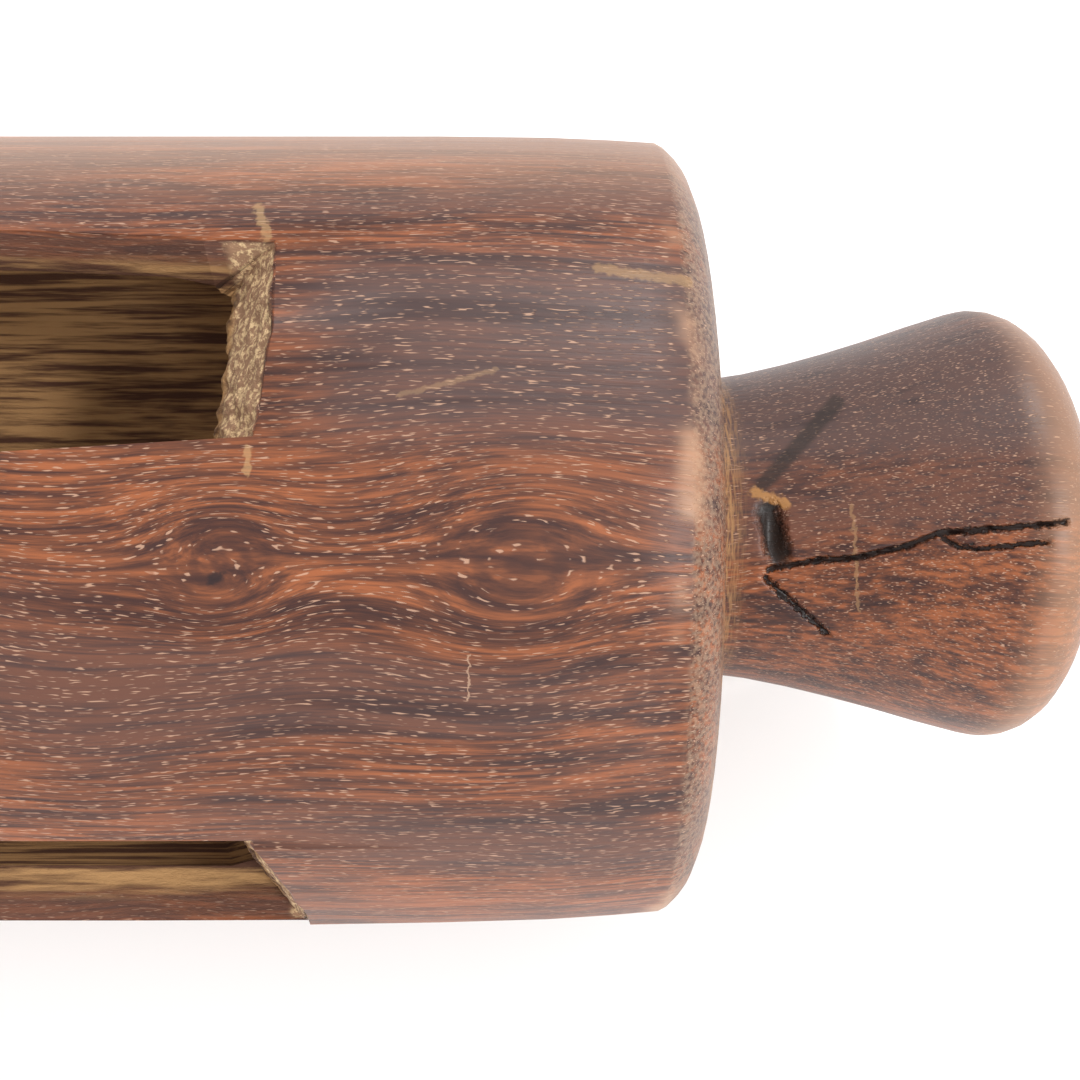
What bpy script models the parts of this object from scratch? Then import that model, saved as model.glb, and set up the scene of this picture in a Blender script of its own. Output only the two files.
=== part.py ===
"""Slit drum, carved from one log: a hollow round body with three long slots and a flared knob at each end.

The drum lies along X on a small flat underside, with its middle slot up. The origin is the centre of that
underside. Lengths are in metres and angles are measured about the log's axis, from straight up towards +Y.
"""

import math
from typing import NamedTuple

import bmesh
import bpy
from mathutils import Matrix, Vector

# Driving dimensions of the log
BODY_RADIUS = 0.075
BODY_HALF = 0.200
FLAT_DEPTH = 0.0009
AXIS_HEIGHT = BODY_RADIUS - FLAT_DEPTH

# The rim, where the round side turns into the end face through a worn chamfer
RIM_TAPER = 0.0015
TAPER_LENGTH = 0.038
CHAMFER_LENGTH = 0.0058
CHAMFER_DROP = 0.0070
CHAMFER_POWER = 1.4
CHAMFER_STEPS = 4

# The knob, measured outwards from the end face
NECK_RADIUS = 0.0294
NECK_FILLET = 0.0040
FLARE_START = 0.006
FLARE_LENGTH = 0.050
FLARE_RISE = 0.0130
FLARE_POWER = 1.35
FLARE_STEPS = 6
SHOULDER_RADIUS = 0.010
SHOULDER_CENTRE = 0.0586
SHOULDER_TOP = 0.0423
DOME_RADIUS = 0.0674

# Hand carving: the ends are a little off the log's axis and not cut quite square, along one direction
OFFSET_ROLL = math.radians(22.1)
RIM_SHIFT = 0.0005
NECK_SHIFT = 0.0007
SHOULDER_SHIFT = 0.0014
END_SKEW = 0.007
DOME_SKEW = 0.036

# The hollow
CAVITY_RADIUS = 0.0655
CAVITY_RISE = 0.0020
CAVITY_HALF = 0.1300
CAVITY_HALF_AT_BOTTOM = 0.0960
CAVITY_CORNER = 0.012


class Slot(NamedTuple):
    """A slot: its middle and half widths in degrees, and its half length and end slope at the outside."""

    name: str
    middle: float
    half_width: float
    narrowing: float
    half_length: float
    end_slope: float


SLOTS = (
    Slot("slot_middle", -0.6, 14.6, 2.3, 0.1367, 0.83),
    Slot("slot_front", -79.2, 18.8, 0.6, 0.1346, 1.00),
    Slot("slot_back", 73.0, 14.2, 1.2, 0.1350, 0.90),
)
NARROWING_POWER = 4
SLOT_CUTS = 7
CUTTER_INNER = 0.052
CUTTER_OUTER = 0.085

TURNED_STEPS = 64
CAVITY_STEPS = 48
FILLET_STEPS = 3
SHOULDER_STEPS = 5
DOME_STEPS = 4
WOOD_COLOUR = (0.115, 0.045, 0.025, 1.0)
WOOD_ROUGHNESS = 0.45


def new_collection(name):
    """A collection of that name in the scene."""
    collection = bpy.data.collections.new(name)
    bpy.context.scene.collection.children.link(collection)
    return collection


def wood_material():
    """Dark reddish brown hardwood, hand rubbed."""
    material = bpy.data.materials.new("drum_wood")
    material.use_nodes = True
    shader = material.node_tree.nodes["Principled BSDF"]
    shader.inputs["Base Color"].default_value = WOOD_COLOUR
    shader.inputs["Roughness"].default_value = WOOD_ROUGHNESS
    shader.inputs["Metallic"].default_value = 0.0
    return material


def arc_points(centre, radius, start, end, count):
    """Points along an arc in the profile's plane, from the start angle to the end angle."""
    points = []
    for step in range(count + 1):
        angle = start + (end - start) * step / count
        points.append((centre[0] + radius * math.cos(angle), centre[1] + radius * math.sin(angle)))
    return points


def body_profile():
    """(x, radius) from the middle of the body to the outer edge of the end face."""
    rim_x = BODY_HALF - CHAMFER_LENGTH
    face_radius = BODY_RADIUS - RIM_TAPER - CHAMFER_DROP
    points = [(0.0, BODY_RADIUS), (0.4 * BODY_HALF, BODY_RADIUS)]
    for share in (0.0, 0.5, 0.8):
        x = rim_x - TAPER_LENGTH * (1.0 - share)
        points.append((x, BODY_RADIUS - RIM_TAPER * share ** 2))
    for step in range(CHAMFER_STEPS + 1):
        across = step / CHAMFER_STEPS
        left = (1.0 - across ** CHAMFER_POWER) ** (1.0 / CHAMFER_POWER)
        points.append((rim_x + CHAMFER_LENGTH * across, face_radius + CHAMFER_DROP * left))
    return points


def knob_profile():
    """(x, radius) from the inner edge of the end face to the tip of the knob."""
    fillet_centre = (NECK_FILLET, NECK_RADIUS + NECK_FILLET)
    points = arc_points(fillet_centre, NECK_FILLET, math.pi, 1.5 * math.pi, FILLET_STEPS)
    flare_angle = math.atan(FLARE_RISE * FLARE_POWER / FLARE_LENGTH)
    shoulder_start = 0.5 * math.pi + flare_angle
    shoulder_centre = (SHOULDER_CENTRE, SHOULDER_TOP - SHOULDER_RADIUS)
    flare_end = shoulder_centre[0] + SHOULDER_RADIUS * math.cos(shoulder_start)
    for step in range(FLARE_STEPS):
        u = FLARE_START + (flare_end - FLARE_START) * step / FLARE_STEPS
        share = (u - FLARE_START) / FLARE_LENGTH
        points.append((u, NECK_RADIUS + FLARE_RISE * share ** FLARE_POWER))
    centre_gap = DOME_RADIUS - SHOULDER_RADIUS
    dome_centre = shoulder_centre[0] - math.sqrt(centre_gap ** 2 - shoulder_centre[1] ** 2)
    dome_start = math.atan2(shoulder_centre[1], shoulder_centre[0] - dome_centre)
    points += arc_points(shoulder_centre, SHOULDER_RADIUS, shoulder_start, dome_start, SHOULDER_STEPS)
    points += arc_points((dome_centre, 0.0), DOME_RADIUS, dome_start, 0.0, DOME_STEPS)[1:]
    return [(BODY_HALF + u, max(radius, 0.0)) for u, radius in points]


def carved_by_eye(point):
    """Where a point of the true turned shape lies on the hand carved one."""
    outwards = math.copysign(1.0, point.x)
    u = abs(point.x) - BODY_HALF
    lean = Vector((0.0, math.cos(OFFSET_ROLL), math.sin(OFFSET_ROLL)))
    near_end = min(max(1.0 + u / TAPER_LENGTH, 0.0), 1.0)
    along_knob = min(max(u / SHOULDER_CENTRE, 0.0), 1.0)
    skew = END_SKEW * near_end + (DOME_SKEW - END_SKEW) * along_knob ** 2
    shift = RIM_SHIFT * near_end
    if u > NECK_FILLET:
        shift = NECK_SHIFT + (SHOULDER_SHIFT - NECK_SHIFT) * along_knob
    return point + lean * shift - Vector((outwards * skew * point.dot(lean), 0.0, 0.0))


def turned_blank(collection):
    """The whole log with its knobs, solid, before the hollow and the slots are cut."""
    half = body_profile() + knob_profile()
    # A Screw profile runs from the left tip to the right one, or the shape is inside out.
    profile = [(-x, radius) for x, radius in reversed(half)] + half[1:]
    mesh = bpy.data.meshes.new("blank_profile")
    edges = [(index, index + 1) for index in range(len(profile) - 1)]
    mesh.from_pydata([(x, 0.0, radius) for x, radius in profile], edges, [])
    outline = bpy.data.objects.new("blank_profile", mesh)
    collection.objects.link(outline)
    screw = outline.modifiers.new("turn", "SCREW")
    screw.axis = "X"
    screw.angle = math.tau
    screw.steps = TURNED_STEPS
    screw.render_steps = TURNED_STEPS
    screw.use_merge_vertices = True
    screw.merge_threshold = 0.00001
    graph = bpy.context.evaluated_depsgraph_get()
    turned = bpy.data.meshes.new_from_object(outline.evaluated_get(graph))
    bpy.data.objects.remove(outline)
    for vertex in turned.vertices:
        vertex.co = carved_by_eye(vertex.co)
    make_outward(turned)
    return turned


def make_outward(mesh):
    """Turns every face of a closed mesh outwards."""
    shape = bmesh.new()
    shape.from_mesh(mesh)
    bmesh.ops.recalc_face_normals(shape, faces=shape.faces)
    shape.to_mesh(mesh)
    shape.free()


def add_cutter(name, shape, collection):
    """A hidden object made from the bmesh, which is used up."""
    mesh = bpy.data.meshes.new(name)
    bmesh.ops.recalc_face_normals(shape, faces=shape.faces)
    shape.to_mesh(mesh)
    shape.free()
    cutter = bpy.data.objects.new(name, mesh)
    cutter.location = (0.0, 0.0, AXIS_HEIGHT)
    cutter.hide_render = True
    cutter.display_type = "WIRE"
    collection.objects.link(cutter)
    return cutter


def cavity_cutter(collection):
    """The hollow: a round bore whose end walls slope inwards towards the back of the log."""
    shape = bmesh.new()
    bmesh.ops.create_cone(
        shape,
        cap_ends=True,
        segments=CAVITY_STEPS,
        radius1=CAVITY_RADIUS,
        radius2=CAVITY_RADIUS,
        depth=2.0 * CAVITY_HALF,
        matrix=Matrix.Rotation(0.5 * math.pi, 4, "Y"),
    )
    rims = [edge for edge in shape.edges if len(edge.link_faces) == 2
            and max(len(face.verts) for face in edge.link_faces) == CAVITY_STEPS]
    bmesh.ops.bevel(
        shape, geom=rims, offset=CAVITY_CORNER, segments=3, profile=0.5, affect="EDGES", clamp_overlap=True
    )
    for vertex in shape.verts:
        depth = min(max(-vertex.co.z / CAVITY_RADIUS, 0.0), 1.0)
        half = CAVITY_HALF + (CAVITY_HALF_AT_BOTTOM - CAVITY_HALF) * depth ** 1.5
        vertex.co.x *= half / CAVITY_HALF
        vertex.co.z += CAVITY_RISE
    return add_cutter("cavity", shape, collection)


def slot_cutter(slot, collection):
    """A slot: side walls that draw together towards its ends, and end walls that lean inwards."""
    shape = bmesh.new()
    bmesh.ops.create_cube(shape, size=2.0)
    long_edges = [edge for edge in shape.edges if abs(edge.verts[0].co.x - edge.verts[1].co.x) > 1.0]
    bmesh.ops.subdivide_edges(shape, edges=long_edges, cuts=SLOT_CUTS)
    turn = Matrix.Rotation(-math.radians(slot.middle), 3, "X")
    for vertex in shape.verts:
        radius = CUTTER_OUTER if vertex.co.z > 0.0 else CUTTER_INNER
        half_width = slot.half_width - slot.narrowing * abs(vertex.co.x) ** NARROWING_POWER
        vertex.co.x *= slot.half_length + slot.end_slope * (radius - BODY_RADIUS)
        vertex.co.y *= radius * math.tan(math.radians(half_width))
        vertex.co.z = radius
        vertex.co = turn @ vertex.co
    return add_cutter(slot.name, shape, collection)


def underside_cutter(collection):
    """A slab under the drum that leaves a small flat spot to rest on."""
    shape = bmesh.new()
    bmesh.ops.create_cube(shape, size=1.0)
    slab = Vector((2.0 * BODY_HALF, BODY_RADIUS, 0.2 * BODY_RADIUS))
    bmesh.ops.scale(shape, vec=slab, verts=shape.verts)
    bmesh.ops.translate(shape, vec=(0.0, 0.0, -AXIS_HEIGHT - 0.5 * slab.z), verts=shape.verts)
    return add_cutter("underside", shape, collection)


def build_drum():
    """The drum: the turned blank, less the hollow, the slots and the flat underside."""
    drum_parts = new_collection("slit drum")
    cutters = new_collection("cutters")
    drum = bpy.data.objects.new("slit_drum", turned_blank(drum_parts))
    drum.location = (0.0, 0.0, AXIS_HEIGHT)
    drum_parts.objects.link(drum)
    drum.data.materials.append(wood_material())
    tools = [cavity_cutter(cutters), underside_cutter(cutters)]
    tools += [slot_cutter(slot, cutters) for slot in SLOTS]
    for tool in tools:
        cut = drum.modifiers.new("cut_" + tool.name, "BOOLEAN")
        cut.operation = "DIFFERENCE"
        cut.solver = "EXACT"
        cut.object = tool
    drum.data.shade_smooth()
    drum.data.set_sharp_from_angle(angle=math.radians(30.0))


for leftover in list(bpy.data.objects):
    bpy.data.objects.remove(leftover)
build_drum()
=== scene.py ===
"""Looks of the slit drum: hand-rubbed rosewood with knots, pores, a cracked knob and raw wood in its cuts."""

import logging
import math
from collections.abc import Callable, Iterator
from dataclasses import dataclass
from enum import Enum

import bpy
from mathutils import Matrix, Vector, noise

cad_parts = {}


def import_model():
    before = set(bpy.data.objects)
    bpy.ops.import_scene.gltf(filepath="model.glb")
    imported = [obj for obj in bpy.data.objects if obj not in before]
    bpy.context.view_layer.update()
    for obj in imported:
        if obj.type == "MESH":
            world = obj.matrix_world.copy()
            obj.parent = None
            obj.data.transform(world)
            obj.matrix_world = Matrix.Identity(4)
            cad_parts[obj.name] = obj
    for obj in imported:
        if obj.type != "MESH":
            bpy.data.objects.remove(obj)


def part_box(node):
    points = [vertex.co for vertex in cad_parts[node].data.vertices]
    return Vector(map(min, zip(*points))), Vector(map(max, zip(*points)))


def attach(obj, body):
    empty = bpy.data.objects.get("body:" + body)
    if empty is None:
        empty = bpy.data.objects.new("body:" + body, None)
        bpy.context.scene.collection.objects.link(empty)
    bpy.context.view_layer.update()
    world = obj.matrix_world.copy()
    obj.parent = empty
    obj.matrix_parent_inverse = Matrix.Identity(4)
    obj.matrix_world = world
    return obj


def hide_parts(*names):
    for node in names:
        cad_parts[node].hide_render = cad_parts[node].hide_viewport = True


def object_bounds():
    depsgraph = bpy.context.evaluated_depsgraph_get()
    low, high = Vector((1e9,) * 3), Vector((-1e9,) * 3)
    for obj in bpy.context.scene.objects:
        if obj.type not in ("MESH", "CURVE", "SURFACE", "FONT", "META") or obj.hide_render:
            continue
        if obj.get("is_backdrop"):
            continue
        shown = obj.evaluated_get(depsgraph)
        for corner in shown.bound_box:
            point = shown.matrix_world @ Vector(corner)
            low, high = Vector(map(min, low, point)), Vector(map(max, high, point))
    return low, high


LOG = logging.getLogger("slit_drum")
MM = 0.001
VIEW_ROLL = math.radians(22.1)
RIGHT = Vector((1.0, 0.0, 0.0))
UPWARD = Vector((0.0, math.cos(VIEW_ROLL), math.sin(VIEW_ROLL)))
TOWARDS = Vector((0.0, -math.sin(VIEW_ROLL), math.cos(VIEW_ROLL)))

Socket = bpy.types.NodeSocket
Value = Socket | float | tuple[float, ...] | Vector
Point = tuple[float, float]


def linear(code: str) -> tuple[float, float, float, float]:
    """Turns an sRGB hex colour into a linear one.

    Args:
        code: six hex digits.

    Returns:
        The linear colour with alpha 1.
    """
    parts = [int(code[i:i + 2], 16) / 255.0 for i in (0, 2, 4)]
    bent = [c / 12.92 if c <= 0.04045 else ((c + 0.055) / 1.055) ** 2.4 for c in parts]
    return (bent[0], bent[1], bent[2], 1.0)


def stretch(start: Point, end: Point) -> tuple[Vector, Vector]:
    """The start of a line given in mm and its run from there, both in metres."""
    first = Vector((*start, 0.0)) * MM
    return first, Vector((*end, 0.0)) * MM - first


class Kind(Enum):
    """What a node does: its type and settings, the inputs in the order given, and the output used."""

    PLACE = ("ShaderNodeTexCoord", {}, (), "Object")
    ALONG = ("ShaderNodeSeparateXYZ", {}, (0,), 0)
    JOIN = ("ShaderNodeCombineXYZ", {}, (0, 1, 2), 0)
    ADD = ("ShaderNodeMath", {"operation": "ADD"}, (0, 1), 0)
    SUBTRACT = ("ShaderNodeMath", {"operation": "SUBTRACT"}, (0, 1), 0)
    MULTIPLY = ("ShaderNodeMath", {"operation": "MULTIPLY"}, (0, 1), 0)
    DIVIDE = ("ShaderNodeMath", {"operation": "DIVIDE"}, (0, 1), 0)
    MAXIMUM = ("ShaderNodeMath", {"operation": "MAXIMUM"}, (0, 1), 0)
    ABSOLUTE = ("ShaderNodeMath", {"operation": "ABSOLUTE"}, (0,), 0)
    ROOT = ("ShaderNodeMath", {"operation": "SQRT"}, (0,), 0)
    EXPONENT = ("ShaderNodeMath", {"operation": "EXPONENT"}, (0,), 0)
    SINE = ("ShaderNodeMath", {"operation": "SINE"}, (0,), 0)
    CLAMP = ("ShaderNodeClamp", {}, (0,), 0)
    EASE = ("ShaderNodeMapRange", {"interpolation_type": "SMOOTHSTEP"}, (0, 1, 2, 3, 4), 0)
    SHIFT = ("ShaderNodeVectorMath", {"operation": "ADD"}, (0, 1), 0)
    OFFSET = ("ShaderNodeVectorMath", {"operation": "SUBTRACT"}, (0, 1), 0)
    STRETCH = ("ShaderNodeVectorMath", {"operation": "MULTIPLY"}, (0, 1), 0)
    SCALE = ("ShaderNodeVectorMath", {"operation": "SCALE"}, (0, "Scale"), 0)
    DOT = ("ShaderNodeVectorMath", {"operation": "DOT_PRODUCT"}, (0, 1), 1)
    LENGTH = ("ShaderNodeVectorMath", {"operation": "LENGTH"}, (0,), 1)
    DISTANCE = ("ShaderNodeVectorMath", {"operation": "DISTANCE"}, (0, 1), 1)
    NOISE = ("ShaderNodeTexNoise", {}, ("Vector", "Scale", "Detail", "Roughness"), 0)
    BLEND = ("ShaderNodeMix", {"data_type": "RGBA"}, (0, 6, 7), 2)
    BUMP = ("ShaderNodeBump", {}, ("Strength", "Distance", "Height"), 0)


@dataclass
class Nodes:
    """Adds nodes to a material."""

    tree: bpy.types.NodeTree

    def add(self, kind: Kind, *values: Value) -> Socket:
        """Adds a node with its settings and links.

        Args:
            kind: what the node does.
            values: numbers, vectors, colours or other nodes' outputs, one for each of the kind's inputs.

        Returns:
            The output that is used.
        """
        type_name, settings, inputs, output = kind.value
        node = self.tree.nodes.new(type_name)
        for name, setting in settings.items():
            setattr(node, name, setting)
        for place, value in zip(inputs, values, strict=True):
            if isinstance(value, Socket):
                self.tree.links.new(value, node.inputs[place])
            else:
                node.inputs[place].default_value = value
        return node.outputs[output]


@dataclass(frozen=True)
class Rise:
    """An eased step from 0 at one value to top at another. A start above the end turns it round."""

    start: float
    end: float
    top: float = 1.0

    @classmethod
    def mm(cls, start: float, end: float, top: float = 1.0) -> "Rise":
        """A step between two lengths given in mm."""
        return cls(start * MM, end * MM, top)

    def __iter__(self) -> Iterator[float]:
        """Gives the lower and the upper value and the results there, as an EASE node takes them."""
        results = (self.top, 0.0) if self.start > self.end else (0.0, self.top)
        yield from (min(self.start, self.end), max(self.start, self.end), *results)


@dataclass(frozen=True)
class Grain:
    """A noise pattern: its cells per millimetre along and across the log, and its finer layers."""

    along: float
    across: float
    detail: float
    rough: float

    def pattern(self, nodes: Nodes, place: Socket) -> Socket:
        """Adds the pattern.

        Args:
            nodes: where the nodes go.
            place: the point where it is read, in metres.

        Returns:
            A value about a half.
        """
        cells = (self.along / MM, self.across / MM, self.across / MM)
        return nodes.add(Kind.NOISE, nodes.add(Kind.STRETCH, place, cells), 1.0, self.detail, self.rough)


@dataclass(frozen=True)
class Where:
    """Where a point of the wood is, as outputs of nodes.

    place is measured from the log's axis. x is along the log, far_x either way from its middle, up is the
    picture's up, depth is towards the camera and radius is from the axis, all in metres. near is 1 on the
    camera's side, knob is 1 beyond the end faces, and body is 1 between them.
    """

    place: Socket
    x: Socket
    far_x: Socket
    up: Socket
    depth: Socket
    radius: Socket
    near: Socket
    knob: Socket
    body: Socket


@dataclass(frozen=True)
class Knot:
    """A knot: its place along the drum and up the picture, its half sizes, in mm, and its pull."""

    x: float
    v: float
    half_x: float
    half_v: float
    pull: float
    falloff: float = 0.7
    ring_count: float = 17.0
    ring: Rise = Rise(-0.6, 1.0)

    def bend(self, nodes: Nodes, where: Where) -> tuple[Socket, Socket]:
        """Pushes the grain aside.

        Args:
            nodes: where the nodes go.
            where: the point of the wood.

        Returns:
            How far the grain is pushed, in metres, and the mask of the knot's rings.
        """
        away = nodes.add(Kind.SUBTRACT, where.up, self.v * MM)
        along = nodes.add(Kind.DIVIDE, nodes.add(Kind.SUBTRACT, where.x, self.x * MM), self.half_x * MM)
        across = nodes.add(Kind.DIVIDE, away, self.half_v * MM)
        along_square = nodes.add(Kind.MULTIPLY, along, along)
        square = nodes.add(Kind.ADD, along_square, nodes.add(Kind.MULTIPLY, across, across))
        bell = nodes.add(Kind.EXPONENT, nodes.add(Kind.MULTIPLY, square, -self.falloff))
        bell = nodes.add(Kind.MULTIPLY, bell, where.near)
        push = nodes.add(Kind.MULTIPLY, nodes.add(Kind.MULTIPLY, away, bell), -self.pull)
        wave = nodes.add(Kind.SINE, nodes.add(Kind.MULTIPLY, nodes.add(Kind.ROOT, square), self.ring_count))
        rings = nodes.add(Kind.EASE, wave, *self.ring)
        return push, nodes.add(Kind.MULTIPLY, nodes.add(Kind.MULTIPLY, bell, bell), rings)


@dataclass(frozen=True)
class Mark:
    """A stain, scratch or piece of a crack: its ends and half width, in mm, its colour and strength."""

    start: Point
    end: Point
    width: float
    colour: str
    strength: float
    sunk: bool = False
    core: float = 0.5
    fringe: float = 1.3

    def line(self, nodes: Nodes, flat: Socket) -> Socket:
        """Draws the mark.

        Args:
            nodes: where the nodes go.
            flat: the point along the log, up the picture, and behind the marked side.

        Returns:
            1 on the mark and 0 off it.
        """
        start, run = stretch(self.start, self.end)
        offset = nodes.add(Kind.OFFSET, flat, start)
        share = nodes.add(Kind.CLAMP, nodes.add(Kind.DOT, offset, run / run.length_squared))
        gap = nodes.add(Kind.DISTANCE, offset, nodes.add(Kind.SCALE, run, share))
        return nodes.add(Kind.EASE, gap, *Rise.mm(self.fringe * self.width, self.core * self.width))


@dataclass(frozen=True)
class Crack:
    """A crack that runs through a row of points, in mm, with its half width."""

    route: tuple[Point, ...]
    width: float

    def pieces(self) -> list[tuple[Point, Point]]:
        """The crack's straight pieces, each from one point to the next."""
        return list(zip(self.route, self.route[1:]))


@dataclass(frozen=True)
class Figure:
    """The wood itself: long red and purple-brown streaks that bend round knots, and fine pale open pores."""

    dark: str = "3C2420"
    mid: str = "6C3F2A"
    red: str = "925433"
    band: str = "4E3E3C"
    deep: str = "2E1C1C"
    pore: str = "B8927A"
    knots: tuple[Knot, ...] = (Knot(131, -5, 8, 6.5, 0.82), Knot(171, -5, 12, 9, 0.72))
    wave: Grain = Grain(0.016, 0.026, 1.0, 0.55)
    wave_height: float = 7 * MM
    fine: Grain = Grain(0.048, 1.15, 4.0, 0.66)
    broad: Grain = Grain(0.01, 0.23, 2.0, 0.5)
    large: Grain = Grain(0.006, 0.036, 2.0, 0.5)
    # Real vessels are about 0.2 mm wide. The dashes are a little wider, so that they show in the picture.
    vessels: Grain = Grain(0.56, 4.6, 0.0, 0.4)
    fine_share: float = 0.72
    mid_tone: Rise = Rise(0.36, 0.56)
    red_tone: Rise = Rise(0.48, 0.64)
    red_patch: Rise = Rise(0.32, 0.56)
    zone_low: Rise = Rise.mm(6, 16)
    zone_high: Rise = Rise.mm(44, 34)
    zone_start: Rise = Rise.mm(133, 150, 0.8)
    dusk: Rise = Rise(0.52, 0.38, 0.45)
    deep_tone: Rise = Rise(0.44, 0.34, 0.45)
    eye_strength: float = 0.55
    pore_open: Rise = Rise(0.66, 0.76)
    pore_outside_eye: Rise = Rise(0.22, 0.04)
    pore_strength: float = 0.7
    relief: float = 0.5

    def bent_grain(self, nodes: Nodes, where: Where) -> tuple[Socket, Socket]:
        """Bends the grain round the knots.

        Args:
            nodes: where the nodes go.
            where: the point of the wood.

        Returns:
            The bent place and the mask of the knots' eyes.
        """
        wave = nodes.add(Kind.SUBTRACT, self.wave.pattern(nodes, where.place), 0.5)
        slide = nodes.add(Kind.MULTIPLY, wave, self.wave_height)
        eyes = 0.0
        for knot in self.knots:
            push, eye = knot.bend(nodes, where)
            slide = nodes.add(Kind.ADD, slide, push)
            eyes = nodes.add(Kind.MAXIMUM, eyes, eye)
        return nodes.add(Kind.SHIFT, where.place, nodes.add(Kind.JOIN, 0.0, slide, slide)), eyes

    def paint(self, nodes: Nodes, where: Where) -> tuple[Socket, Socket]:
        """Lays the streaks, the dark zone, the knots' eyes and the pores.

        Args:
            nodes: where the nodes go.
            where: the point of the wood.

        Returns:
            The colour, and the height for the bump.
        """
        place, eyes = self.bent_grain(nodes, where)
        fine = self.fine.pattern(nodes, place)
        broad = self.broad.pattern(nodes, place)
        large = self.large.pattern(nodes, place)
        fine_part = nodes.add(Kind.MULTIPLY, fine, self.fine_share)
        tone = nodes.add(Kind.ADD, fine_part, nodes.add(Kind.MULTIPLY, broad, 1.0 - self.fine_share))
        mids = nodes.add(Kind.EASE, tone, *self.mid_tone)
        colour = nodes.add(Kind.BLEND, mids, linear(self.dark), linear(self.mid))
        red_patch = nodes.add(Kind.EASE, large, *self.red_patch)
        reds = nodes.add(Kind.MULTIPLY, nodes.add(Kind.EASE, tone, *self.red_tone), red_patch)
        colour = nodes.add(Kind.BLEND, reds, colour, linear(self.red))
        zone = nodes.add(Kind.EASE, where.up, *self.zone_low)
        zone = nodes.add(Kind.MULTIPLY, zone, nodes.add(Kind.EASE, where.up, *self.zone_high))
        zone = nodes.add(Kind.MULTIPLY, zone, nodes.add(Kind.EASE, where.x, *self.zone_start))
        zone = nodes.add(Kind.MULTIPLY, zone, where.near)
        dusk = nodes.add(Kind.MAXIMUM, zone, nodes.add(Kind.EASE, large, *self.dusk))
        colour = nodes.add(Kind.BLEND, dusk, colour, linear(self.band))
        deep = nodes.add(Kind.EASE, broad, *self.deep_tone)
        colour = nodes.add(Kind.BLEND, deep, colour, linear(self.deep))
        eye_cover = nodes.add(Kind.MULTIPLY, eyes, self.eye_strength)
        colour = nodes.add(Kind.BLEND, eye_cover, colour, linear(self.dark))
        dashes = nodes.add(Kind.EASE, self.vessels.pattern(nodes, place), *self.pore_open)
        pores = nodes.add(Kind.MULTIPLY, dashes, nodes.add(Kind.EASE, eyes, *self.pore_outside_eye))
        pore_cover = nodes.add(Kind.MULTIPLY, pores, self.pore_strength)
        colour = nodes.add(Kind.BLEND, pore_cover, colour, linear(self.pore))
        return colour, nodes.add(Kind.MULTIPLY, nodes.add(Kind.SUBTRACT, fine, pores), self.relief)


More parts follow.
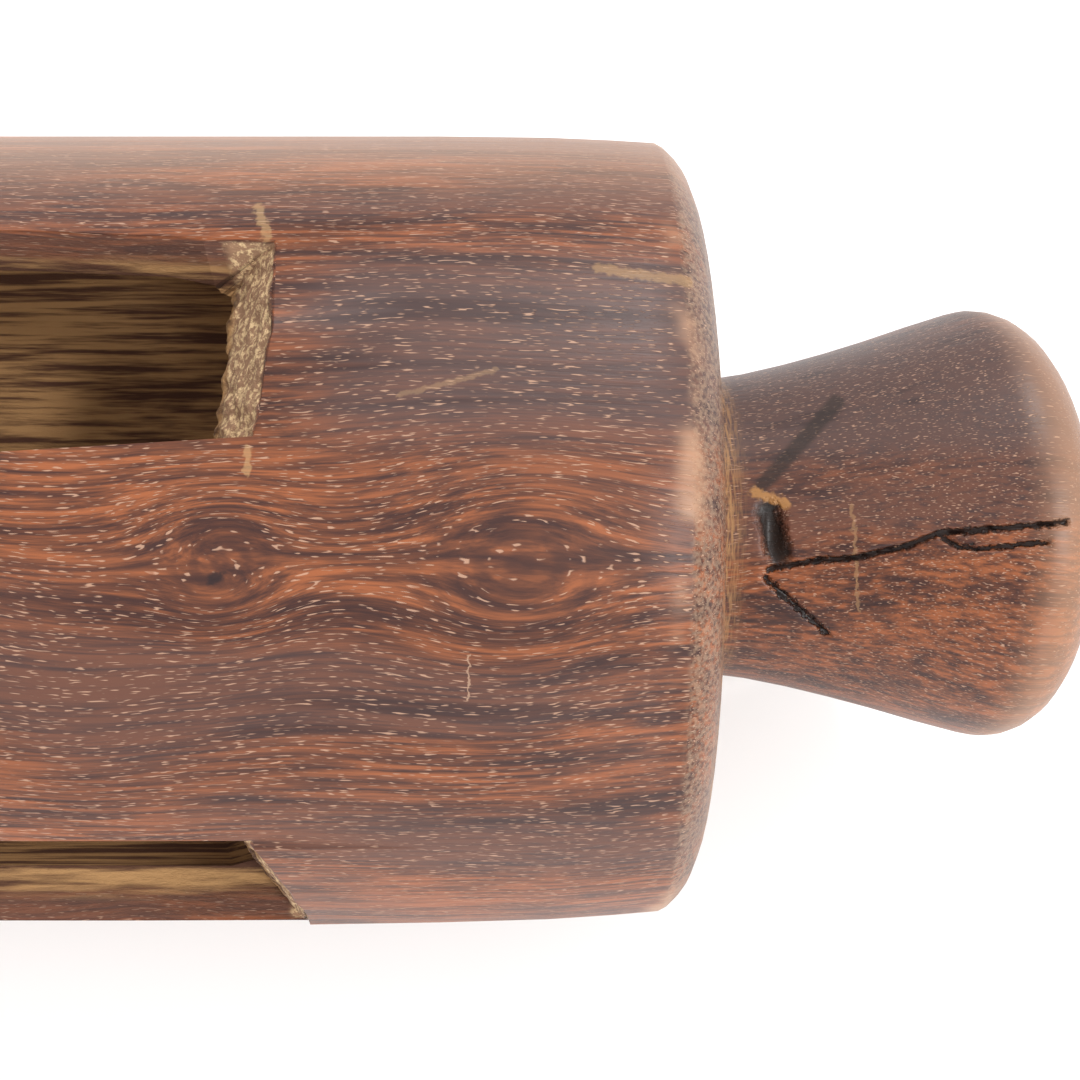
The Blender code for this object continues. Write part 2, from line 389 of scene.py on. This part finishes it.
@dataclass(frozen=True)
class RubAndHighlight:
    """Rubbed pale rim and chamfer, pale ochre wood on the necks, lighter shoulders on the knobs, and a pale
    band along the top of the log in the picture that is partly rubbed wear and partly painted highlight from
    light grazing the top.
    """

    pale_rub_and_highlight: str = "B48C70"
    speckled: str = "927863"
    rasped: str = "A07850"
    spots: Grain = Grain(1.3, 1.3, 2.0, 0.6)
    spot: Rise = Rise(0.34, 0.66, 0.6)
    chamfer: Rise = Rise.mm(193.6, 195.2)
    patches: Grain = Grain(0.06, 0.06, 2.0, 0.6)
    patch: Rise = Rise(0.46, 0.62, 0.65)
    edge_start: Rise = Rise.mm(190.5, 194)
    edge_end: Rise = Rise.mm(198, 194.5)
    # The pale top band is partly rubbed wear and partly painted highlight. It lies between these heights up
    # the picture and grows towards the camera's side.
    rubbed_lit_top_up: Rise = Rise.mm(46, 64)
    rubbed_lit_top_side: Rise = Rise.mm(2, 24, 0.4)
    neck_end: Rise = Rise.mm(211, 206)
    rasp: Grain = Grain(2.6, 0.3, 3.0, 0.6)
    rasp_mark: Rise = Rise(0.36, 0.66)
    shoulder_start: Rise = Rise.mm(253, 262)
    shoulder_end: Rise = Rise.mm(272, 265)
    shoulder_radius: Rise = Rise.mm(28, 38, 0.45)

    def paint(self, nodes: Nodes, where: Where, colour: Socket) -> Socket:
        """Lays the wear, and the painted highlight along the top of the log, over the wood.

        Args:
            nodes: where the nodes go.
            where: the point of the wood.
            colour: the wood so far.

        Returns:
            The colour.
        """
        rim = nodes.add(Kind.MULTIPLY, nodes.add(Kind.EASE, where.far_x, *self.chamfer), where.body)
        spots = nodes.add(Kind.EASE, self.spots.pattern(nodes, where.place), *self.spot)
        colour = nodes.add(Kind.BLEND, nodes.add(Kind.MULTIPLY, rim, spots), colour, linear(self.speckled))
        edge = nodes.add(Kind.EASE, where.far_x, *self.edge_start)
        edge = nodes.add(Kind.MULTIPLY, edge, nodes.add(Kind.EASE, where.far_x, *self.edge_end))
        patches = nodes.add(Kind.EASE, self.patches.pattern(nodes, where.place), *self.patch)
        colour = nodes.add(Kind.BLEND, nodes.add(Kind.MULTIPLY, edge, patches), colour, linear(self.pale_rub_and_highlight))
        # Pale band along the top of the log in the picture: partly rubbed wear, partly painted highlight
        # where light grazes the top.
        rubbed_lit_top = nodes.add(Kind.MULTIPLY, nodes.add(Kind.EASE, where.up, *self.rubbed_lit_top_up), where.body)
        rubbed_lit_top = nodes.add(Kind.MULTIPLY, rubbed_lit_top, nodes.add(Kind.EASE, where.depth, *self.rubbed_lit_top_side))
        colour = nodes.add(Kind.BLEND, rubbed_lit_top, colour, linear(self.pale_rub_and_highlight))
        neck = nodes.add(Kind.MULTIPLY, where.knob, nodes.add(Kind.EASE, where.far_x, *self.neck_end))
        rasp = nodes.add(Kind.EASE, self.rasp.pattern(nodes, where.place), *self.rasp_mark)
        colour = nodes.add(Kind.BLEND, nodes.add(Kind.MULTIPLY, neck, rasp), colour, linear(self.rasped))
        shoulder = nodes.add(Kind.EASE, where.far_x, *self.shoulder_start)
        shoulder = nodes.add(Kind.MULTIPLY, shoulder, nodes.add(Kind.EASE, where.far_x, *self.shoulder_end))
        round_part = nodes.add(Kind.EASE, where.radius, *self.shoulder_radius)
        shoulder = nodes.add(Kind.MULTIPLY, shoulder, round_part)
        return nodes.add(Kind.BLEND, shoulder, colour, linear(self.pale_rub_and_highlight))


@dataclass(frozen=True)
class Marks:
    """The cracks, stains and scratches that show in the photo."""

    ragged: Grain = Grain(0.9, 0.9, 2.0, 0.55)
    jitter: float = 1.6 * MM
    singles: tuple[Mark, ...] = (
        Mark((212, 7), (227, 23), 1.4, "2A211E", 0.75),
        # The next mark paints the knob's sunk pocket near-black: painted shade in the recess.
        Mark((213.5, 3), (215.5, -4), 2.2, "1A1614", 0.95, sunk=True),
        Mark((211.5, 6.5), (216.5, 4.4), 1.0, "A87A4A", 0.8),
        Mark((227.2, 4), (228.5, -9), 0.3, "A07C58", 0.45),
        Mark((228.5, -9), (229.5, -14.4), 0.3, "A07C58", 0.45),
        Mark((182, 37), (195, 35), 0.9, "A88458", 0.4),
        Mark((154.7, 17.7), (167.6, 21.3), 0.4, "A0805E", 0.3),
        Mark((164, -17.5), (163.8, -23.8), 0.15, "B09078", 0.6),
        Mark((129.8, -7.2), (130.6, -6.8), 0.8, "241A1C", 0.8),
        Mark((131.5, 48), (134, 42), 0.7, "B8966A", 0.4),
        Mark((134.5, 10.5), (134.5, 7), 0.5, "B8966A", 0.4),
    )
    cracks: tuple[Crack, ...] = (
        Crack(((214, -7), (222, -5.5), (228, -5), (236, -3), (241, -0.7), (249, -0.1), (260, 1)), 0.55),
        Crack(((241, -1), (244, -3), (247, -3.4), (257, -2.3)), 0.4),
        Crack(((213.5, -8.5), (216, -11), (220, -14.4), (225, -18.6)), 0.5),
    )
    # The cracks are painted near-black: painted shade in their grooves.
    crack_shade_colour: str = "1C1412"
    crack_shade_strength: float = 0.95

    def paint(self, nodes: Nodes, where: Where, colour: Socket) -> tuple[Socket, Socket]:
        """Draws the marks.

        Args:
            nodes: where the nodes go.
            where: the point of the wood.
            colour: the wood so far.

        Returns:
            The colour and the mask of what is sunk.
        """
        ragged = nodes.add(Kind.SUBTRACT, self.ragged.pattern(nodes, where.place), 0.5)
        jitter = nodes.add(Kind.MULTIPLY, ragged, self.jitter)
        # On the far side the flat point is a metre away from every mark, so none is drawn there.
        behind = nodes.add(Kind.SUBTRACT, 1.0, where.near)
        ragged_x = nodes.add(Kind.ADD, where.x, jitter)
        flat = nodes.add(Kind.JOIN, ragged_x, nodes.add(Kind.ADD, where.up, jitter), behind)
        marks = list(self.singles)
        for crack in self.cracks:
            for start, end in crack.pieces():
                # Each piece of a crack is painted near-black, as painted shade in its groove.
                marks.append(Mark(start, end, crack.width, self.crack_shade_colour, self.crack_shade_strength, sunk=True))
        sunk = 0.0
        for mark in marks:
            line = mark.line(nodes, flat)
            cover = nodes.add(Kind.MULTIPLY, line, mark.strength)
            colour = nodes.add(Kind.BLEND, cover, colour, linear(mark.colour))
            if mark.sunk:
                sunk = nodes.add(Kind.MAXIMUM, sunk, line)
        return colour, sunk


@dataclass(frozen=True)
class Cuts:
    """Raw wood where the log was hollowed: ochre and brown inside, pale torn fibres at the slots' ends."""

    shade: str = "4A2E20"
    ochre: str = "A07A50"
    end_grain: str = "8F6E55"
    fibre: str = "D6B78C"
    sawn: str = "5C4238"
    streaks: Grain = Grain(0.025, 0.42, 4.0, 0.6)
    streak: Rise = Rise(0.40, 0.60)
    fibres: Grain = Grain(0.9, 0.9, 4.0, 0.7)
    torn: Rise = Rise(0.46, 0.62)
    past_end: float = 1 * MM
    wall_radius: Rise = Rise.mm(74.6, 73.9)
    inner_radius: Rise = Rise.mm(72, 68)
    end_radius: Rise = Rise.mm(62, 64)
    end_from: float = 10 * MM
    end_full: float = 8 * MM
    wall_strength: float = 0.5

    def paint(self, nodes: Nodes, where: Where, colour: Socket, slot_end: float) -> tuple[Socket, Socket]:
        """Lays the raw wood.

        Args:
            nodes: where the nodes go.
            where: the point of the wood.
            colour: the wood so far.
            slot_end: distance of the slots' outer ends from the middle, in metres.

        Returns:
            The colour and the mask of raw wood.
        """
        slotted = nodes.add(Kind.EASE, where.far_x, *Rise(slot_end + self.past_end, slot_end))
        wall = nodes.add(Kind.MULTIPLY, nodes.add(Kind.EASE, where.radius, *self.wall_radius), slotted)
        inner = nodes.add(Kind.MULTIPLY, nodes.add(Kind.EASE, where.radius, *self.inner_radius), slotted)
        streaks = nodes.add(Kind.EASE, self.streaks.pattern(nodes, where.place), *self.streak)
        inside = nodes.add(Kind.BLEND, streaks, linear(self.shade), linear(self.ochre))
        wall_cover = nodes.add(Kind.MULTIPLY, wall, self.wall_strength)
        colour = nodes.add(Kind.BLEND, wall_cover, colour, linear(self.sawn))
        colour = nodes.add(Kind.BLEND, inner, colour, inside)
        end = nodes.add(Kind.EASE, where.far_x, *Rise(slot_end - self.end_from, slot_end - self.end_full))
        end = nodes.add(Kind.MULTIPLY, end, wall)
        end = nodes.add(Kind.MULTIPLY, end, nodes.add(Kind.EASE, where.radius, *self.end_radius))
        fibres = nodes.add(Kind.EASE, self.fibres.pattern(nodes, where.place), *self.torn)
        torn = nodes.add(Kind.BLEND, fibres, linear(self.end_grain), linear(self.fibre))
        return nodes.add(Kind.BLEND, end, colour, torn), wall


@dataclass(frozen=True)
class Rosewood:
    """Dark rosewood, hand-rubbed and dry: a satin brown with wide highlights, and dull where it is raw."""

    figure: Figure = Figure()
    rub_and_highlight: RubAndHighlight = RubAndHighlight()
    marks: Marks = Marks()
    cuts: Cuts = Cuts()
    near_side: Rise = Rise.mm(0, 8)
    knob_side: Rise = Rise.mm(199, 201)
    torn: Grain = Grain(0.3, 0.9, 3.0, 0.7)
    torn_relief: float = 2.4
    sunk_relief: float = 3.0
    bump_strength: float = 0.55
    bump_height: float = 0.35 * MM
    roughness: float = 0.42
    raw_roughness: float = 0.4
    ior: float = 1.5
    # Dry, rubbed wood mirrors its bright surroundings less than a polished coat would.
    specular: float = 0.28

    def locate(self, nodes: Nodes, axis_height: float) -> Where:
        """Finds out where a point of the wood is.

        Args:
            nodes: where the nodes go.
            axis_height: height of the log's axis in metres.

        Returns:
            The point's measures.
        """
        place = nodes.add(Kind.OFFSET, nodes.add(Kind.PLACE), (0.0, 0.0, axis_height))
        x = nodes.add(Kind.ALONG, place)
        far_x = nodes.add(Kind.ABSOLUTE, x)
        up = nodes.add(Kind.DOT, place, UPWARD)
        depth = nodes.add(Kind.DOT, place, TOWARDS)
        radius = nodes.add(Kind.LENGTH, nodes.add(Kind.STRETCH, place, (0.0, 1.0, 1.0)))
        near = nodes.add(Kind.EASE, depth, *self.near_side)
        knob = nodes.add(Kind.EASE, far_x, *self.knob_side)
        return Where(place, x, far_x, up, depth, radius, near, knob, nodes.add(Kind.SUBTRACT, 1.0, knob))

    def material(self, axis_height: float, slot_end: float) -> bpy.types.Material:
        """Builds the wood.

        Args:
            axis_height: height of the log's axis in metres.
            slot_end: distance of the slots' outer ends from the middle, in metres.

        Returns:
            The material.
        """
        made = bpy.data.materials.new("rosewood")
        made.use_nodes = True
        nodes = Nodes(made.node_tree)
        where = self.locate(nodes, axis_height)
        colour, height = self.figure.paint(nodes, where)
        colour = self.rub_and_highlight.paint(nodes, where, colour)
        colour, sunk = self.marks.paint(nodes, where, colour)
        colour, raw = self.cuts.paint(nodes, where, colour, slot_end)
        torn = nodes.add(Kind.MULTIPLY, self.torn.pattern(nodes, where.place), self.torn_relief)
        height = nodes.add(Kind.ADD, height, nodes.add(Kind.MULTIPLY, raw, torn))
        height = nodes.add(Kind.SUBTRACT, height, nodes.add(Kind.MULTIPLY, sunk, self.sunk_relief))
        normal = nodes.add(Kind.BUMP, self.bump_strength, self.bump_height, height)
        rough = nodes.add(Kind.ADD, nodes.add(Kind.MULTIPLY, raw, self.raw_roughness), self.roughness)
        shader = made.node_tree.nodes["Principled BSDF"]
        for name, output in (("Base Color", colour), ("Normal", normal), ("Roughness", rough)):
            made.node_tree.links.new(output, shader.inputs[name])
        shader.inputs["IOR"].default_value = self.ior
        shader.inputs["Specular IOR Level"].default_value = self.specular
        return made


@dataclass
class Drum:
    """The carved log: the solid's own form, with cracks and chisel work cut into its mesh, in metres."""

    node: str = "slit_drum"
    slot_end: float = 0.1367
    wall_outer: float = 0.0742
    end_cut_inner: float = 0.058
    end_cut_reach: float = 0.014
    end_cut_past: float = 0.0006
    end_cut_lip: float = 0.0012
    end_wall_facing: float = 0.4
    chisel_depth: float = 0.0007
    chisel_scale: float = 330.0
    chisel_layers: int = 4
    knob_start: float = 0.205
    cracked_x: tuple[float, float] = (0.2105, 0.262)
    cracked_up: tuple[float, float] = (-0.021, 0.009)
    crack_depth: float = 0.0011
    crack_width: float = 0.00048
    crack_jitter: float = 0.0006
    crack_jitter_scale: float = 300.0
    pocket_depth: float = 0.0016
    pocket: tuple[float, float] = (0.2145, -0.0005)
    pocket_half: tuple[float, float] = (0.0016, 0.0042)
    least_depth: float = 0.00001
    weld: float = 0.00001
    fine_cuts: int = 9
    last_cuts: int = 1
    smooth_angle: float = math.radians(32.0)
    finish: Rosewood = Rosewood()

    def subdivide(self, piece: bpy.types.Object, wanted: Callable[[bpy.types.MeshPolygon], bool],
                  cuts: int, smoothness: float) -> None:
        """Splits the faces that a test picks.

        Args:
            piece: the object.
            wanted: says whether a face is split.
            cuts: cuts along each edge.
            smoothness: 1 keeps the surface round between the cuts, 0 keeps it flat.
        """
        bpy.ops.object.mode_set(mode="EDIT")
        bpy.ops.mesh.select_all(action="DESELECT")
        bpy.ops.mesh.select_mode(type="FACE")
        bpy.ops.object.mode_set(mode="OBJECT")
        for face in piece.data.polygons:
            face.select = wanted(face)
        bpy.ops.object.mode_set(mode="EDIT")
        bpy.ops.mesh.subdivide(number_cuts=cuts, smoothness=smoothness)
        bpy.ops.object.mode_set(mode="OBJECT")

    def on_end_cut(self, point: Vector, margin: float = 0.0) -> bool:
        """Tells the chiselled end walls of the slots.

        Args:
            point: a point measured from the axis.
            margin: how far beyond the wall's outer radius still counts.

        Returns:
            Whether the point is on one of them.
        """
        radius = math.hypot(point.y, point.z)
        inside = self.end_cut_inner < radius < self.wall_outer + margin
        past = abs(point.x) - self.slot_end
        return inside and -self.end_cut_reach < past < self.end_cut_past

    def on_cracked_knob(self, point: Vector) -> bool:
        """Tells the cracked part of the right knob.

        Args:
            point: a point measured from the axis.

        Returns:
            Whether the point is there.
        """
        low_x, high_x = self.cracked_x
        low_up, high_up = self.cracked_up
        return low_x < point.x < high_x and point.dot(TOWARDS) > 0.0 and low_up < point.dot(UPWARD) < high_up

    def groove(self, point: Vector) -> float:
        """How deep the knob's cracks and pocket go.

        Args:
            point: a point measured from the axis.

        Returns:
            The depth in metres.
        """
        if point.x < self.knob_start or point.dot(TOWARDS) < 0.0:
            return 0.0
        up = point.dot(UPWARD)
        spot = Vector((point.x, up, 0.0))
        spot.y += self.crack_jitter * noise.noise(point * self.crack_jitter_scale)
        gap = math.inf
        for crack in self.finish.marks.cracks:
            for first, second in crack.pieces():
                start, run = stretch(first, second)
                share = min(max((spot - start).dot(run) / run.length_squared, 0.0), 1.0)
                gap = min(gap, (spot - start - run * share).length)
        depth = self.crack_depth * math.exp(-(gap / self.crack_width) ** 2)
        across = (point.x - self.pocket[0]) / self.pocket_half[0]
        along = (up - self.pocket[1]) / self.pocket_half[1]
        hollow = across ** 4 + along ** 4
        return depth + self.pocket_depth * math.exp(-hollow)

    def copy_solid(self) -> bpy.types.Object:
        """Copies the solid's mesh, merged and with its faces outwards.

        Returns:
            The new piece, alone selected.
        """
        piece = bpy.data.objects.new("carved_log", bpy.data.objects[self.node].data.copy())
        bpy.context.scene.collection.objects.link(piece)
        bpy.ops.object.select_all(action="DESELECT")
        piece.select_set(True)
        bpy.context.view_layer.objects.active = piece
        bpy.ops.object.mode_set(mode="EDIT")
        bpy.ops.mesh.select_all(action="SELECT")
        bpy.ops.mesh.remove_doubles(threshold=self.weld)
        bpy.ops.mesh.normals_make_consistent(inside=False)
        bpy.ops.object.mode_set(mode="OBJECT")
        return piece

    def carve(self, axis_height: float) -> bpy.types.Object:
        """Cuts the fine relief into a copy of the solid's mesh, which takes the solid's place.

        Args:
            axis_height: height of the log's axis in metres.

        Returns:
            The carved piece.
        """
        piece = self.copy_solid()
        axis = Vector((0.0, 0.0, axis_height))

        def is_cracked(face: bpy.types.MeshPolygon) -> bool:
            """Whether a face is in the knob's cracked part."""
            return self.on_cracked_knob(face.center - axis)

        def is_end_wall(face: bpy.types.MeshPolygon) -> bool:
            """Whether a face is on a slot's end wall and faces along the log."""
            return abs(face.normal.x) > self.end_wall_facing and self.on_end_cut(face.center - axis)

        self.subdivide(piece, is_cracked, self.fine_cuts, 1.0)
        self.subdivide(piece, is_end_wall, self.fine_cuts, 0.0)
        self.subdivide(piece, is_end_wall, self.last_cuts, 0.0)
        # Reading a normal after a vertex has moved works them all out again, so they are read first.
        normals = [vertex.normal.copy() for vertex in piece.data.vertices]
        for vertex, normal in zip(piece.data.vertices, normals):
            point = vertex.co - axis
            depth = self.groove(point)
            if depth > self.least_depth:
                vertex.co -= Vector((0.0, point.y, point.z)).normalized() * depth
            elif self.on_end_cut(point, self.end_cut_lip):
                swell = noise.turbulence(point * self.chisel_scale, self.chisel_layers, False)
                vertex.co -= normal * self.chisel_depth * swell
        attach(piece, "root")
        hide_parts(self.node)
        LOG.info("carved_log has %d faces", len(piece.data.polygons))
        return piece

    def dress(self) -> float:
        """Carves the drum and gives it its wood and smooth shading.

        Returns:
            The height of the drum's axis.
        """
        low, high = (Vector(corner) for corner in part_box(self.node))
        axis_height = high.z - 0.5 * (high.y - low.y)
        piece = self.carve(axis_height)
        piece.data.materials.clear()
        piece.data.materials.append(self.finish.material(axis_height, self.slot_end))
        bpy.ops.object.select_all(action="DESELECT")
        piece.select_set(True)
        bpy.context.view_layer.objects.active = piece
        bpy.ops.object.shade_smooth_by_angle(angle=self.smooth_angle)
        LOG.info("%s dressed, axis at %.4f m", self.node, axis_height)
        return axis_height


@dataclass(frozen=True)
class Sun:
    """A soft sun: the way its light travels in the picture's axes, its energy, and its width in degrees."""

    name: str
    ray: tuple[float, float, float]
    energy: float
    angle: float


@dataclass
class Studio:
    """White floor, bright white surroundings and soft suns, with the camera over the drum's right end."""

    distance: float = 0.2191
    aim_x: float = 0.1737
    drop: float = 0.0019
    sensor: float = 36.0
    lens: float = 36.0
    nearest: float = 0.01
    floor_size: float = 6.0
    floor_colour: tuple[float, float, float, float] = (0.92, 0.92, 0.92, 1.0)
    floor_roughness: float = 0.9
    sky_colour: tuple[float, float, float, float] = (1.0, 0.99, 0.98, 1.0)
    sky_strength: float = 0.95
    suns: tuple[Sun, ...] = (
        Sun("key", (-0.65, 0.06, -1.0), 1.9, 6.0),
        Sun("low_fill", (-0.28, 0.84, -0.5), 0.55, 8.0),
        Sun("top_fill", (-0.25, -0.84, -0.5), 1.5, 12.0),
    )

    def camera(self, axis_height: float) -> None:
        """Places the camera at the photo's viewing angle.

        Args:
            axis_height: height of the log's axis in metres.
        """
        data = bpy.data.cameras.new("camera")
        data.sensor_width = self.sensor
        data.lens = self.lens
        data.clip_start = self.nearest
        camera = bpy.data.objects.new("camera", data)
        bpy.context.scene.collection.objects.link(camera)
        spot = Vector((self.aim_x, 0.0, axis_height)) + TOWARDS * self.distance - UPWARD * self.drop
        turn = Matrix((RIGHT, UPWARD, TOWARDS)).transposed().to_4x4()
        camera.matrix_world = Matrix.Translation(spot) @ turn
        bpy.context.scene.camera = camera

    def light(self, sun: Sun) -> None:
        """Adds a sun.

        Args:
            sun: its measures.
        """
        data = bpy.data.lights.new(sun.name, "SUN")
        data.energy = sun.energy
        data.angle = math.radians(sun.angle)
        lamp = bpy.data.objects.new(sun.name, data)
        bpy.context.scene.collection.objects.link(lamp)
        travel = RIGHT * sun.ray[0] + UPWARD * sun.ray[1] + TOWARDS * sun.ray[2]
        lamp.rotation_euler = travel.to_track_quat("-Z", "Y").to_euler()

    def floor(self) -> None:
        """Lays the floor."""
        bpy.ops.mesh.primitive_plane_add(size=self.floor_size, location=(0.0, 0.0, 0.0))
        floor = bpy.context.active_object
        floor.name = "floor"
        paint = bpy.data.materials.new("floor_white")
        paint.use_nodes = True
        shader = paint.node_tree.nodes["Principled BSDF"]
        shader.inputs["Base Color"].default_value = self.floor_colour
        shader.inputs["Roughness"].default_value = self.floor_roughness
        floor.data.materials.append(paint)
        floor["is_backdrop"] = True

    def surroundings(self) -> None:
        """Makes everything round the drum bright and white."""
        world = bpy.data.worlds.new("surroundings")
        world.use_nodes = True
        background = world.node_tree.nodes["Background"]
        background.inputs[0].default_value = self.sky_colour
        background.inputs[1].default_value = self.sky_strength
        bpy.context.scene.world = world

    def build(self, axis_height: float) -> None:
        """Builds the floor, the surroundings, the lights and the camera.

        Args:
            axis_height: height of the log's axis in metres.
        """
        self.floor()
        self.surroundings()
        for sun in self.suns:
            self.light(sun)
        bpy.context.scene.view_settings.view_transform = "Standard"
        self.camera(axis_height)
        LOG.info("studio built")


def main() -> None:
    """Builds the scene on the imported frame."""
    logging.basicConfig(level=logging.INFO)
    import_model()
    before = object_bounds()
    axis_height = Drum().dress()
    Studio().build(axis_height)
    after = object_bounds()
    sizes = {"loaded": [list(corner) for corner in before], "final": [list(corner) for corner in after]}


if __name__ == "__main__":
    main()
